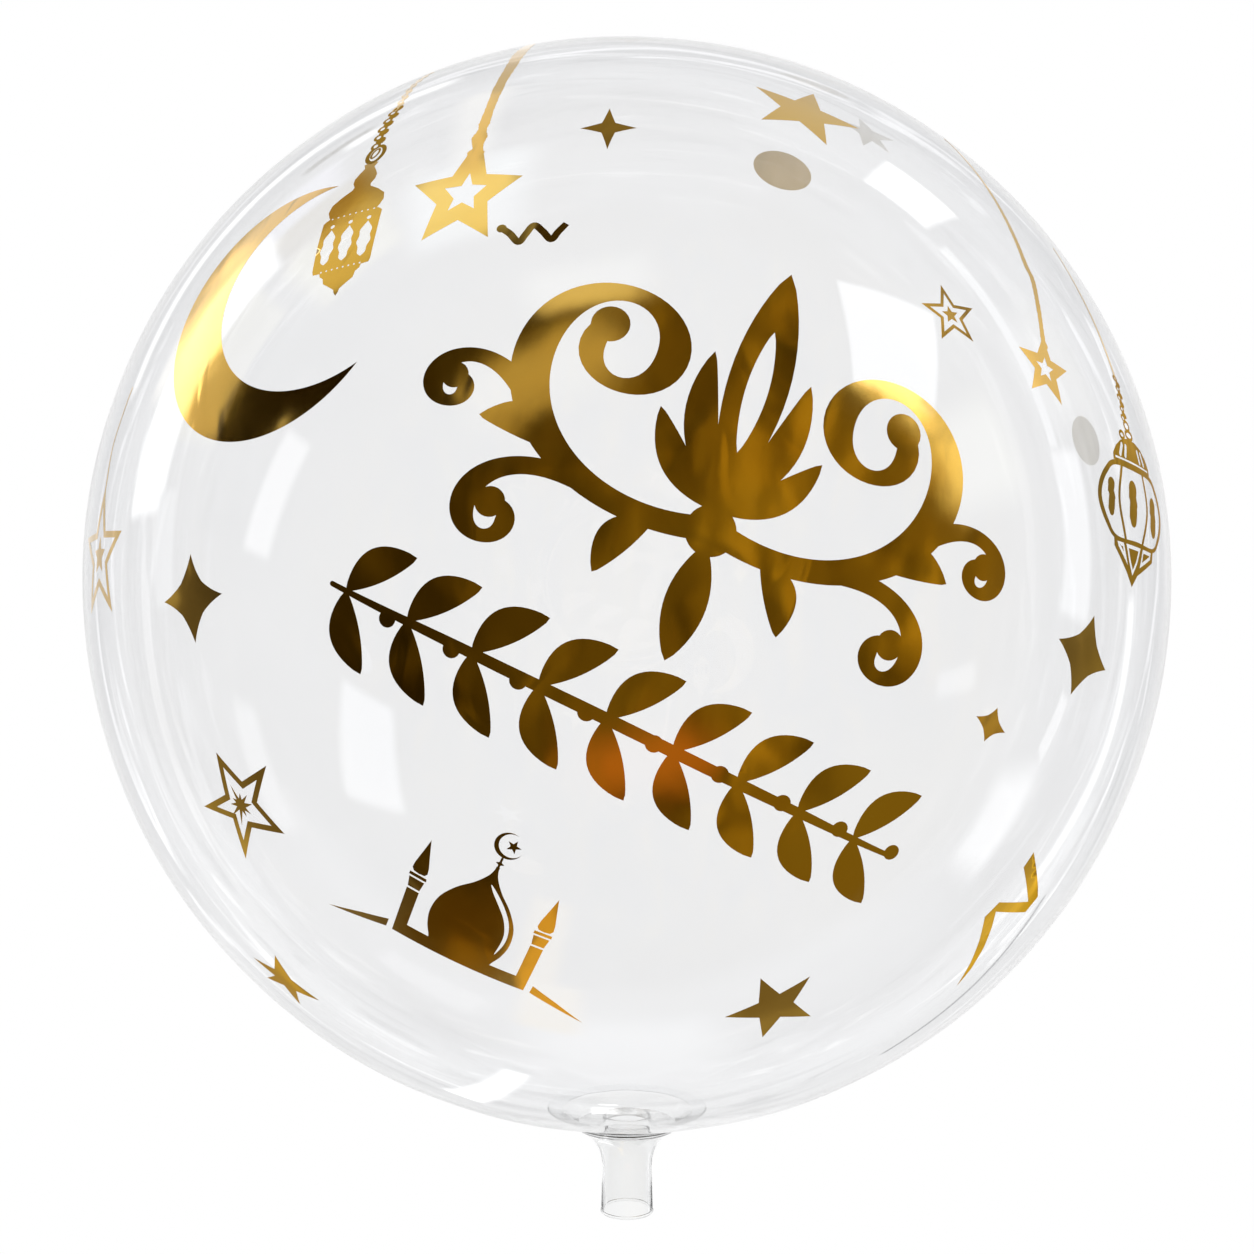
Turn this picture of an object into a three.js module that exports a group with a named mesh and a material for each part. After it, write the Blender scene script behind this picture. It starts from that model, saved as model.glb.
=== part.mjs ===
// Clear bubble balloon, blown up and lying on its back with the printed front facing up.
// Millimetres, +Z up. The filling neck points along -Y.
// The origin is the middle of the small flat spot that the balloon rests on, right under its centre.
import * as THREE from 'three';

// Driving dimensions of the blown film
const BALLOON_RADIUS = 250;
const FILM_WALL = 0.1;
const NECK_PULL = 0.0145;
const NECK_PULL_REACH = THREE.MathUtils.degToRad(75);
const NECK_TENT = 0.008;
const NECK_TENT_REACH = THREE.MathUtils.degToRad(12);
const FILM_HOLE_RADIUS = 31;
const FLAT_SPOT_RADIUS = 50;

// Driving dimensions of the filling neck, depths measured from the balloon's centre
const WELD_GAP = 0.3;
const NECK_WALL = 0.9;
const FLANGE_WALL = 0.5;
const FLANGE_RADIUS = 38;
const FLARE_RADIUS = 24;
const FLARE_DEPTH = 261;
const WAIST_RADIUS = 11.8;
const WAIST_DEPTH = 281;
const MOUTH_RADIUS = 12.4;
const MOUTH_DEPTH = 302;
const COLLAR_RADIUS = 11.5;
const COLLAR_DEPTH = 255.8;
const WEB_DEPTH = 259.2;

// Steps of the faceted surfaces
const FILM_SEGMENTS = 64;
const FILM_STEPS_PER_HALF = 15;
const NECK_SEGMENTS = 36;
const FLARE_STEPS = 5;

const FLAT_SPOT_LEVEL = -Math.sqrt(BALLOON_RADIUS ** 2 - FLAT_SPOT_RADIUS ** 2);

const clearFilm = new THREE.MeshStandardMaterial({
  color: 0xf2f4f5,
  roughness: 0.05,
  metalness: 0,
  transparent: true,
  opacity: 0.2,
});

const clearNeck = new THREE.MeshStandardMaterial({
  color: 0xe9ebec,
  roughness: 0.12,
  metalness: 0,
  transparent: true,
  opacity: 0.4,
});

// Outer radius of the film at an angle from the neck's pole: a ball that is drawn out a little
// towards the neck, with a last small tent where the neck pulls on it.
function filmRadius(angle) {
  const share = Math.min(angle / NECK_PULL_REACH, 1);
  const pull = NECK_PULL * Math.cos(share * Math.PI / 2) ** 2;
  const tent = NECK_TENT * Math.exp(-((angle / NECK_TENT_REACH) ** 2));
  return BALLOON_RADIUS * (1 + pull + tent);
}

// Angle from the neck's pole at which the film is this far from the neck's axis.
function angleAtRadius(radius) {
  let angle = Math.asin(radius / BALLOON_RADIUS);
  for (let pass = 0; pass < 6; pass += 1) {
    angle = Math.asin(radius / filmRadius(angle));
  }
  return angle;
}

// Profile point on the film, or a distance proud of it.
function onFilm(angle, proud) {
  const reach = filmRadius(angle) + proud;
  return new THREE.Vector2(reach * Math.sin(angle), -reach * Math.cos(angle));
}

// Profile point of the neck from its radius and its depth below the balloon's centre.
function atDepth(radius, depth) {
  return new THREE.Vector2(radius, -depth);
}

// Angles of the film's rings from the edge of the neck's hole to the crown, with one at the waist.
function filmAngles() {
  const holeAngle = angleAtRadius(FILM_HOLE_RADIUS);
  const waistAngle = Math.PI / 2;
  const angles = [];
  for (let step = 0; step < FILM_STEPS_PER_HALF; step += 1) {
    angles.push(THREE.MathUtils.lerp(holeAngle, waistAngle, step / FILM_STEPS_PER_HALF));
  }
  for (let step = 0; step <= FILM_STEPS_PER_HALF; step += 1) {
    angles.push(THREE.MathUtils.lerp(waistAngle, Math.PI, step / FILM_STEPS_PER_HALF));
  }
  return angles;
}

// The ball of film: inner wall from the crown to the hole, then outer wall back to the crown.
function makeEnvelope() {
  const angles = filmAngles();
  const outerWall = angles.map((angle) => onFilm(angle, 0));
  const innerWall = angles.map((angle) => onFilm(angle, -FILM_WALL)).reverse();
  outerWall[outerWall.length - 1].x = 0;
  innerWall[0].x = 0;
  const profile = [...innerWall, ...outerWall];
  const geometry = new THREE.LatheGeometry(profile, FILM_SEGMENTS);
  pressFlat(geometry, profile.length, innerWall.length);
  return geometry;
}

// Presses the lowest part of both walls flat, so that the ball doesn't roll.
function pressFlat(geometry, pointsPerSegment, innerPoints) {
  const position = geometry.getAttribute('position');
  for (let index = 0; index < position.count; index += 1) {
    const isInner = index % pointsPerSegment < innerPoints;
    const level = isInner ? FLAT_SPOT_LEVEL + FILM_WALL : FLAT_SPOT_LEVEL;
    position.setZ(index, Math.max(position.getZ(index), level));
  }
}

// One wall face of the flare, from the weld flange in to the waist of the tube.
function flareCurve(inset) {
  return new THREE.CubicBezierCurve(
    atDepth(FLARE_RADIUS - inset, FLARE_DEPTH - inset * 0.7),
    atDepth(FLARE_RADIUS * 0.71 - inset * 0.6, FLARE_DEPTH + 3.8 - inset * 0.8),
    atDepth(WAIST_RADIUS - inset, WAIST_DEPTH - 11.2),
    atDepth(WAIST_RADIUS - inset, WAIST_DEPTH),
  ).getPoints(FLARE_STEPS);
}

// The neck: an open tube that flares out to a thin flange lying on the film. A web closes the flare's
// wide end down to the bore, and a short collar round the bore stands up into the balloon.
function makeFillingNeck() {
  const rimAngle = angleAtRadius(FLANGE_RADIUS);
  const holeAngle = angleAtRadius(FILM_HOLE_RADIUS);
  const collarBore = COLLAR_RADIUS - NECK_WALL;
  const outerFace = [
    atDepth(MOUTH_RADIUS, MOUTH_DEPTH),
    ...flareCurve(0).reverse(),
    atDepth(FLARE_RADIUS + 2.4, FLARE_DEPTH - 3.1),
    onFilm(holeAngle, WELD_GAP + FLANGE_WALL),
    onFilm(rimAngle, WELD_GAP + FLANGE_WALL),
  ];
  const faceToBalloon = [
    onFilm(rimAngle, WELD_GAP),
    onFilm(holeAngle, WELD_GAP),
    atDepth(FLARE_RADIUS + 2, FLARE_DEPTH - 3.6),
    atDepth(FLARE_RADIUS - 1, WEB_DEPTH),
    atDepth(COLLAR_RADIUS, WEB_DEPTH),
    atDepth(COLLAR_RADIUS, COLLAR_DEPTH),
    atDepth(collarBore, COLLAR_DEPTH),
    atDepth(collarBore, WEB_DEPTH + FLANGE_WALL),
  ];
  const hollowFace = [
    ...flareCurve(NECK_WALL),
    atDepth(MOUTH_RADIUS - NECK_WALL, MOUTH_DEPTH),
  ];
  const profile = [...outerFace, ...faceToBalloon, ...hollowFace, outerFace[0]];
  return new THREE.LatheGeometry(profile, NECK_SEGMENTS);
}

function addPiece(group, name, geometry, material) {
  const piece = new THREE.Mesh(geometry, material);
  piece.name = name;
  group.add(piece);
}

// Both pieces are turned about the balloon's own centre, which is then lifted onto its flat spot.
const balloon = new THREE.Group();
addPiece(balloon, 'envelope', makeEnvelope(), clearFilm);
addPiece(balloon, 'filling_neck', makeFillingNeck(), clearNeck);
balloon.position.z = -FLAT_SPOT_LEVEL;

export default balloon;
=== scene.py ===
"""Looks of the clear bubble balloon: thin clear film, a clear filling neck, and gold foil printed on the
film. The balloon lies on its back with the printed front facing up, and the camera looks down on it."""

import math

import bpy
import numpy as np
from mathutils.geometry import delaunay_2d_cdt
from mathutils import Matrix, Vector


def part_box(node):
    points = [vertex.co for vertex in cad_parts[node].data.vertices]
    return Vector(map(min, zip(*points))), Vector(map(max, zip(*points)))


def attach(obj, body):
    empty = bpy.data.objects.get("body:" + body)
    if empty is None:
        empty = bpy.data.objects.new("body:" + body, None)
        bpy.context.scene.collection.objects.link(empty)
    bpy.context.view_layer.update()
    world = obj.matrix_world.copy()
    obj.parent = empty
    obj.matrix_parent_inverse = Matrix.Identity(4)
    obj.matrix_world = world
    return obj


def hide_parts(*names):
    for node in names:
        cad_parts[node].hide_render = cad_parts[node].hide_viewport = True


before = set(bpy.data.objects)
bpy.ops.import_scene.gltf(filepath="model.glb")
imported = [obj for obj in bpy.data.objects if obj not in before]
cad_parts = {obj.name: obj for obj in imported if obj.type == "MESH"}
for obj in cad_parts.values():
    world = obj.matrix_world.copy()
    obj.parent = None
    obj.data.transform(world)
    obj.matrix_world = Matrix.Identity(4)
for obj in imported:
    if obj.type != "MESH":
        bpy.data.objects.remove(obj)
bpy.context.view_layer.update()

# The ball's size and place, from the frame
MM = 0.001
film_low, film_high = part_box("envelope")
neck_low, neck_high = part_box("filling_neck")
BALL_RADIUS = (film_high.x - film_low.x) / 2 / MM
CENTRE_HEIGHT = film_high.z / MM - BALL_RADIUS
MOUTH_DEPTH = -neck_low.y / MM

# The film, in millimetres, with the form that its solid has
FILM_WALL = 0.1
NECK_PULL = 0.0145
NECK_PULL_REACH = math.radians(75)
NECK_TENT = 0.008
NECK_TENT_REACH = math.radians(12)
FILM_HOLE_RADIUS = 31
FLAT_SPOT_SOFTNESS = 1.2
FILM_SEGMENTS = 252
FILM_RINGS = 190
RIPPLE_SEED = 7
RIPPLE_WAVES = 14
RIPPLE_HEIGHT = 0.05
RIPPLE_SHORTEST = 55
RIPPLE_LONGEST = 160
PLEATS = 13
PLEAT_HEIGHT = 0.16
PLEAT_START = math.radians(12)
PLEAT_REACH = math.radians(42)

# The filling neck, in millimetres, with depths from the ball's centre
WELD_GAP = 0.3
NECK_WALL = 0.9
FLANGE_WALL = 0.5
FLANGE_RADIUS = 38
FLARE_RADIUS = 24
FLARE_DEPTH = 261
WAIST_RADIUS = 11.8
WAIST_DEPTH = 281
MOUTH_RADIUS = 12.4
COLLAR_RADIUS = 11.5
COLLAR_DEPTH = 255.8
WEB_DEPTH = 259.2
FLANGE_FEATHER = 0.14
LIP = 0.25
LIP_LENGTH = 0.9
NECK_SEGMENTS = 112

# The foil, in millimetres
FOIL_PROUD = 0.03
FOIL_WALL = 0.05
FOIL_STEP = 3.0
FOIL_MARGIN = 1.1

# The camera, as it stood to the balloon in the photograph, whose frame is 1254 pixels a side
PHOTO_SIZE = 1254
FOCAL_PIXELS = 1790
CAMERA_REACH = 3.433
BALL_PIXEL_Y = 581
SENSOR = 36


def unit(vectors):
    """Vectors scaled to length one, a row each."""
    return vectors / np.linalg.norm(vectors, axis=-1, keepdims=True)


# The shape of the film

def make_ripples():
    """Wave vectors, phases and heights of the film's faint unevenness."""
    rng = np.random.default_rng(RIPPLE_SEED)
    lengths = rng.uniform(RIPPLE_SHORTEST, RIPPLE_LONGEST, RIPPLE_WAVES)
    waves = unit(rng.normal(size=(RIPPLE_WAVES, 3))) * (2 * math.pi * BALL_RADIUS / lengths)[:, None]
    phases = rng.uniform(0, 2 * math.pi, RIPPLE_WAVES)
    heights = RIPPLE_HEIGHT * lengths / RIPPLE_LONGEST
    return waves, phases, heights


RIPPLES = make_ripples()


def film_reach(directions):
    """Distance from the ball's centre to the film's outer face, for rows of unit directions."""
    angle = np.arccos(np.clip(-directions[:, 1], -1, 1))
    share = np.minimum(angle / NECK_PULL_REACH, 1)
    pull = NECK_PULL * np.cos(share * math.pi / 2) ** 2
    tent = NECK_TENT * np.exp(-((angle / NECK_TENT_REACH) ** 2))
    waves, phases, heights = RIPPLES
    ripple = np.sin(directions @ waves.T + phases) @ heights
    turn = np.arctan2(directions[:, 2], directions[:, 0])
    fade = np.minimum(angle / PLEAT_START, 1) * np.exp(-((angle / PLEAT_REACH) ** 2))
    pleat = PLEAT_HEIGHT * fade * np.sin(PLEATS * turn + 2.5 * np.sin(2 * turn) + 3 * angle)
    return BALL_RADIUS * (1 + pull + tent) + ripple + pleat


def on_film(directions, proud):
    """Points this far outside the film, in the row frame and in millimetres, pressed flat underneath."""
    points = directions * (film_reach(directions) + proud)[:, None]
    points[:, 2] += CENTRE_HEIGHT
    level = proud if proud > 0 else -proud
    over = points[:, 2] - level
    points[:, 2] = level + (over + np.sqrt(over ** 2 + FLAT_SPOT_SOFTNESS ** 2)) / 2
    return points


def film_angle(radius):
    """Angle from the neck's pole at which the film is this far from the neck's axis."""
    angle = math.asin(radius / BALL_RADIUS)
    for _ in range(6):
        direction = np.array([[math.sin(angle), -math.cos(angle), 0.0]])
        angle = math.asin(radius / film_reach(direction)[0])
    return angle


# Meshes

def make_piece(name, points, faces, materials, material_index=None):
    """A smooth mesh from millimetre points, riding on the part's one body."""
    mesh = bpy.data.meshes.new(name)
    mesh.from_pydata((np.asarray(points) * MM).tolist(), [], faces)
    for material in materials:
        mesh.materials.append(material)
    mesh.polygons.foreach_set("use_smooth", [True] * len(mesh.polygons))
    if material_index is not None:
        mesh.polygons.foreach_set("material_index", material_index)
    mesh.validate()
    mesh.update()
    piece = bpy.data.objects.new(name, mesh)
    bpy.context.scene.collection.objects.link(piece)
    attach(piece, "root")
    return piece


def mark_sharp(mesh, pairs):
    """Keeps the shading sharp across these edges."""
    wanted = {tuple(sorted(pair)) for pair in pairs}
    for edge in mesh.edges:
        edge.use_edge_sharp = tuple(sorted(edge.vertices)) in wanted


def let_light_through(piece):
    """The clear film and its print throw no shadow on the floor, as in the photograph."""
    piece.visible_shadow = False
    piece.visible_diffuse = False


def make_film(material):
    """The ball of film: an outer and an inner wall that meet round the neck's hole."""
    first = film_angle(FILM_HOLE_RADIUS)
    angles = np.linspace(first, math.pi, FILM_RINGS + 1)[:-1]
    turns = np.arange(FILM_SEGMENTS) * 2 * math.pi / FILM_SEGMENTS
    angle, turn = np.meshgrid(angles, turns, indexing="ij")
    directions = np.stack([np.sin(angle) * np.cos(turn), -np.cos(angle), np.sin(angle) * np.sin(turn)], -1)
    directions = np.vstack([directions.reshape(-1, 3), [[0.0, 1.0, 0.0]]])
    outer = on_film(directions, 0)
    inner = on_film(directions, -FILM_WALL)
    count = len(directions)
    crown = count - 1
    faces = []
    for ring in range(FILM_RINGS - 1):
        for segment in range(FILM_SEGMENTS):
            after = (segment + 1) % FILM_SEGMENTS
            a = ring * FILM_SEGMENTS + segment
            b = ring * FILM_SEGMENTS + after
            faces.append((a, a + FILM_SEGMENTS, b + FILM_SEGMENTS, b))
            faces.append((b + count, b + FILM_SEGMENTS + count, a + FILM_SEGMENTS + count, a + count))
    last = (FILM_RINGS - 1) * FILM_SEGMENTS
    for segment in range(FILM_SEGMENTS):
        after = (segment + 1) % FILM_SEGMENTS
        faces.append((last + segment, crown, last + after))
        faces.append((last + after + count, crown + count, last + segment + count))
        faces.append((segment, after, after + count, segment + count))
    film = make_piece("clear_film", np.vstack([outer, inner]), faces, [material])
    rim = [(s + wall, (s + 1) % FILM_SEGMENTS + wall) for s in range(FILM_SEGMENTS) for wall in (0, count)]
    mark_sharp(film.data, rim)
    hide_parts("envelope")
    let_light_through(film)
    return film


# The filling neck

def bezier(start, pull_a, pull_b, end, steps):
    """Points along a cubic curve, ends included."""
    t = np.linspace(0, 1, steps + 1)[:, None]
    a, b, c, d = (np.array(p, float) for p in (start, pull_a, pull_b, end))
    return (1 - t) ** 3 * a + 3 * (1 - t) ** 2 * t * b + 3 * (1 - t) * t ** 2 * c + t ** 3 * d


def round_edge(start, end, outward, steps=6):
    """A half-round edge from one wall face to the other, bulging outward."""
    a, b, o = (np.array(p, float) for p in (start, end, outward))
    middle = (a + b) / 2
    half = np.linalg.norm(b - a) / 2
    t = np.linspace(0, math.pi, steps + 1)[:, None]
    return middle + (a - middle) * np.cos(t) + o * half * np.sin(t)


def flare(inset, steps=26):
    """One wall face of the flare, from the weld flange in to the waist of the tube."""
    return bezier(
        (FLARE_RADIUS - inset, FLARE_DEPTH - inset * 0.7),
        (FLARE_RADIUS * 0.71 - inset * 0.6, FLARE_DEPTH + 3.8 - inset * 0.8),
        (WAIST_RADIUS - inset, WAIST_DEPTH - 11.2),
        (WAIST_RADIUS - inset, WAIST_DEPTH),
        steps,
    )


def beside_film(angle, proud):
    """Radius and depth of a point this far off the film at an angle from the neck's pole."""
    reach = BALL_RADIUS * (
        1
        + NECK_PULL * math.cos(angle / NECK_PULL_REACH * math.pi / 2) ** 2
        + NECK_TENT * math.exp(-((angle / NECK_TENT_REACH) ** 2))
    ) + proud
    return reach * math.sin(angle), reach * math.cos(angle)


def neck_profile():
    """Radius and depth round the neck's wall: mouth, outside, weld flange, web, collar and bore."""
    hole = film_angle(FILM_HOLE_RADIUS)
    rim = film_angle(FLANGE_RADIUS)
    bore = COLLAR_RADIUS - NECK_WALL
    steps = np.linspace(hole, rim, 7)
    walls = np.linspace(FLANGE_WALL, FLANGE_FEATHER, 7)
    outside = [beside_film(angle, WELD_GAP + wall) for angle, wall in zip(steps, walls)]
    inside = [beside_film(angle, WELD_GAP) for angle in steps[::-1]]
    edge = round_edge(outside[-1], inside[0], (math.sin(rim + math.pi / 2), math.cos(rim + math.pi / 2)))
    lip_depth = MOUTH_DEPTH - NECK_WALL / 2 - LIP
    mouth_outer = (MOUTH_RADIUS + LIP, lip_depth)
    mouth_inner = (MOUTH_RADIUS - NECK_WALL - LIP, lip_depth)
    lip_outside = bezier(mouth_outer, (MOUTH_RADIUS + LIP, lip_depth - LIP_LENGTH / 2),
                         (MOUTH_RADIUS, lip_depth - LIP_LENGTH / 2), (MOUTH_RADIUS, lip_depth - LIP_LENGTH), 6)
    inner = MOUTH_RADIUS - NECK_WALL
    lip_inside = bezier((inner, lip_depth - LIP_LENGTH), (inner, lip_depth - LIP_LENGTH / 2),
                        (inner - LIP, lip_depth - LIP_LENGTH / 2), mouth_inner, 6)
    under = bezier(inside[-1], (FLARE_RADIUS + 3.2, FLARE_DEPTH - 3.9), (FLARE_RADIUS + 1.2, WEB_DEPTH - 0.4),
                   (FLARE_RADIUS - 2, WEB_DEPTH), 8)
    over = bezier(outside[0], (FLARE_RADIUS + 3.4, FLARE_DEPTH - 2.9), (FLARE_RADIUS + 1.2, FLARE_DEPTH - 1.4),
                  (FLARE_RADIUS, FLARE_DEPTH), 8)
    parts = [
        lip_outside,
        flare(0)[::-1],
        over[::-1][1:],
        outside[1:],
        edge[1:-1],
        inside,
        under[1:],
        [(COLLAR_RADIUS + 0.5, WEB_DEPTH), (COLLAR_RADIUS, WEB_DEPTH - 0.5)],
        round_edge((COLLAR_RADIUS, COLLAR_DEPTH + NECK_WALL / 2), (bore, COLLAR_DEPTH + NECK_WALL / 2), (0, -1)),
        [(bore, WEB_DEPTH + FLANGE_WALL)],
        flare(NECK_WALL),
        lip_inside,
        round_edge(mouth_inner, mouth_outer, (0, 1))[1:-1],
    ]
    return np.vstack([np.array(part, float) for part in parts])


def make_neck(material):
    """The neck's profile turned once about its axis."""
    profile = neck_profile()
    turns = np.arange(NECK_SEGMENTS) * 2 * math.pi / NECK_SEGMENTS
    rows = len(profile)
    points = []
    for turn in turns:
        across = profile[:, 0]
        points.append(np.stack([
            across * math.cos(turn),
            -profile[:, 1],
            across * math.sin(turn) + CENTRE_HEIGHT,
        ], -1))
    faces = []
    for segment in range(NECK_SEGMENTS):
        after = (segment + 1) % NECK_SEGMENTS
        for row in range(rows):
            below = (row + 1) % rows
            faces.append((segment * rows + row, segment * rows + below, after * rows + below, after * rows + row))
    neck = make_piece("filling_neck_clear", np.vstack(points), faces, [material])
    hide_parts("filling_neck")
    let_light_through(neck)
    return neck


# Flat outlines of the print, in millimetres on the film, x to the right and y towards the crown

def polar(centre, reach, degrees):
    """A point at a distance and an angle from a centre."""
    turn = math.radians(degrees)
    return (centre[0] + reach * math.cos(turn), centre[1] + reach * math.sin(turn))


def ellipse(centre, half_width, half_height, steps=40, lean=0):
    """A closed oval, leaning by an angle."""
    t = np.linspace(0, 2 * math.pi, steps, endpoint=False)
    x, y = half_width * np.cos(t), half_height * np.sin(t)
    c, s = math.cos(math.radians(lean)), math.sin(math.radians(lean))
    return np.stack([centre[0] + x * c - y * s, centre[1] + x * s + y * c], -1)


def disc(centre, radius, steps=40):
    """A closed circle."""
    return ellipse(centre, radius, radius, steps)


def star(centre, reach, notch, tips):
    """A star with its tips at these angles, in order round the centre."""
    loop = []
    for index, tip in enumerate(tips):
        following = tips[(index + 1) % len(tips)]
        gap = (following - tip) % 360
        loop.append(polar(centre, reach, tip))
        loop.append(polar(centre, notch, tip + gap / 2))
    return np.array(loop)


def even_tips(top, count=5):
    """Angles of evenly spread tips, starting from one of them."""
    return [top + 360 / count * index for index in range(count)]


def sparkle(centre, tips, waist, bow=0.5):
    """A four-pointed sparkle from its (reach, angle) tips, its sides bowed in towards the waist."""
    loop = []
    for index, (reach, tip) in enumerate(tips):
        next_reach, next_tip = tips[(index + 1) % len(tips)]
        a = np.array(polar(centre, reach, tip))
        b = np.array(polar(centre, next_reach, next_tip))
        inner = np.array(centre) + ((a + b) / 2 - centre) * waist
        t = np.linspace(0, 1, 13)[:-1, None]
        curve = (1 - t) ** 2 * a + 2 * (1 - t) * t * inner + t ** 2 * b
        bent = np.where(t < 0.5, a + (inner - a) * t * 2, inner + (b - inner) * (t * 2 - 1))
        loop.append(curve * bow + bent * (1 - bow))
    return np.vstack(loop)


def smooth(points, per_span=8, closed=False):
    """A smooth line through the points, a row for each sample; further columns are carried along."""
    p = np.array(points, float)
    if closed:
        p = np.vstack([p[-1], p, p[0], p[1]])
    else:
        p = np.vstack([2 * p[0] - p[1], p, 2 * p[-1] - p[-2]])
    out = []
    for index in range(1, len(p) - 2):
        t = np.linspace(0, 1, per_span, endpoint=False)[:, None]
        a, b, c, d = p[index - 1], p[index], p[index + 1], p[index + 2]
        out.append(
            0.5 * (2 * b + (c - a) * t + (2 * a - 5 * b + 4 * c - d) * t ** 2 + (3 * b - a - 3 * c + d) * t ** 3)
        )
    if not closed:
        out.append(p[-2:-1])
    return np.vstack(out)


def ribbon(path, widths=None, round_start=True, round_end=True):
    """The outline of a stroke along a dense path. The path's third column, or widths, is its width."""
    path = np.asarray(path, float)
    if widths is None:
        width = path[:, 2]
    else:
        width = np.broadcast_to(np.asarray(widths, float), len(path))
    line = path[:, :2]
    along = np.gradient(line, axis=0)
    along = along / np.maximum(np.linalg.norm(along, axis=1, keepdims=True), 1e-9)
    side = np.stack([-along[:, 1], along[:, 0]], -1)
    half = np.maximum(width, 0.05)[:, None] / 2
    left = line + side * half
    right = line - side * half
    cap = np.linspace(0, math.pi, 9)[1:-1, None]
    pieces = [left]
    if round_end:
        pieces.append(line[-1] + (side[-1] * np.cos(cap) + along[-1] * np.sin(cap)) * half[-1])
    pieces.append(right[::-1])
    if round_start:
        pieces.append(line[0] - (side[0] * np.cos(cap) + along[0] * np.sin(cap)) * half[0])
    return np.vstack(pieces)


def stroke(points, per_span=8, **ends):
    """A ribbon smoothed through (x, y, width) points."""
    return ribbon(smooth(points, per_span), **ends)


def distinct(loop):
    """The closed outline without points that repeat the one before."""
    return loop[np.linalg.norm(loop - np.roll(loop, 1, axis=0), axis=1) > 1e-6]


def mirrored(half_outline, axis=0.0):
    """A closed outline from its right half, given from bottom to top as (half width, height)."""
    right = np.array(half_outline, float)
    left = right[::-1] * [-1, 1]
    return distinct(np.vstack([right, left]) + [axis, 0])


def inset(loop, by):
    """The closed outline moved inward, or outward for a negative distance, with mitred corners."""
    before = unit(loop - np.roll(loop, 1, axis=0))
    after = unit(np.roll(loop, -1, axis=0) - loop)
    x, y = loop[:, 0], loop[:, 1]
    turning = np.sign(np.sum(x * np.roll(y, -1) - np.roll(x, -1) * y))
    normal_before = np.stack([-before[:, 1], before[:, 0]], -1) * turning
    normal_after = np.stack([-after[:, 1], after[:, 0]], -1) * turning
    mitre = normal_before + normal_after
    scale = by * 2 / np.maximum(np.sum(mitre ** 2, axis=1, keepdims=True), 0.05)
    return loop + mitre * scale


def outlined(loop, width):
    """Layers of a hollow outline."""
    return [(loop, True), (inset(loop, width), False)]


# Foil pieces

def subdivided(loop):
    """The closed outline with no side longer than the foil's step."""
    out = []
    for a, b in zip(loop, np.roll(loop, -1, axis=0)):
        parts = max(1, math.ceil(np.linalg.norm(b - a) / FOIL_STEP))
        out.append(a + (b - a) * (np.arange(parts) / parts)[:, None])
    return np.vstack(out)


def inside_loop(points, loop):
    """Whether each point is inside the closed outline, by its winding number."""
    a, b = loop, np.roll(loop, -1, axis=0)
    px, py = points[:, 0:1], points[:, 1:2]
    side = (b[:, 0] - a[:, 0]) * (py - a[:, 1]) - (px - a[:, 0]) * (b[:, 1] - a[:, 1])
    up = (a[:, 1] <= py) & (b[:, 1] > py) & (side > 0)
    down = (a[:, 1] > py) & (b[:, 1] <= py) & (side < 0)
    return (up.sum(1) - down.sum(1)) != 0


def has_foil(points, layers):
    """Whether each point is foil, where every layer adds foil or cuts it away in turn."""
    found = np.zeros(len(points), bool)
    for loop, adds in layers:
        found[inside_loop(points, loop)] = adds
    return found


def inner_points(layers):
    """An even grid of points inside the foil, clear of its outlines."""
    corners = np.vstack([loop for loop, _ in layers])
    low, high = corners.min(0), corners.max(0)
    rows = np.arange(low[1], high[1], FOIL_STEP * 0.87)
    columns = np.arange(low[0], high[0], FOIL_STEP)
    x, y = np.meshgrid(columns, rows)
    x = x + (np.arange(len(rows)) % 2)[:, None] * FOIL_STEP / 2
    grid = np.stack([x.ravel(), y.ravel()], -1)
    grid = grid[has_foil(grid, layers)]
    if len(grid) == 0:
        return grid
    near = np.min(np.linalg.norm(grid[:, None] - corners[None], axis=2), axis=1)
    return grid[near > FOIL_MARGIN]


def triangulate(layers):
    """Flat points and triangles that fill the foil."""
    points, edges = [], []
    for loop, _ in layers:
        start = len(points)
        count = len(loop)
        points.extend(loop.tolist())
        edges.extend((start + k, start + (k + 1) % count) for k in range(count))
    points.extend(inner_points(layers).tolist())
    flat, _, triangles, *_ = delaunay_2d_cdt(points, edges, [], 0, 0.004)
    flat = np.array([tuple(p) for p in flat])
    triangles = np.array([tuple(t) for t in triangles])
    middles = flat[triangles].mean(1)
    triangles = triangles[has_foil(middles, layers)]
    a, b, c = (flat[triangles[:, k]] for k in range(3))
    area = (b[:, 0] - a[:, 0]) * (c[:, 1] - a[:, 1]) - (b[:, 1] - a[:, 1]) * (c[:, 0] - a[:, 0])
    triangles = triangles[np.abs(area) > 1e-6]
    area = area[np.abs(area) > 1e-6]
    triangles[area < 0] = triangles[area < 0][:, ::-1]
    used = np.unique(triangles)
    renumber = np.zeros(len(flat), int)
    renumber[used] = np.arange(len(used))
    return flat[used], renumber[triangles]


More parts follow.
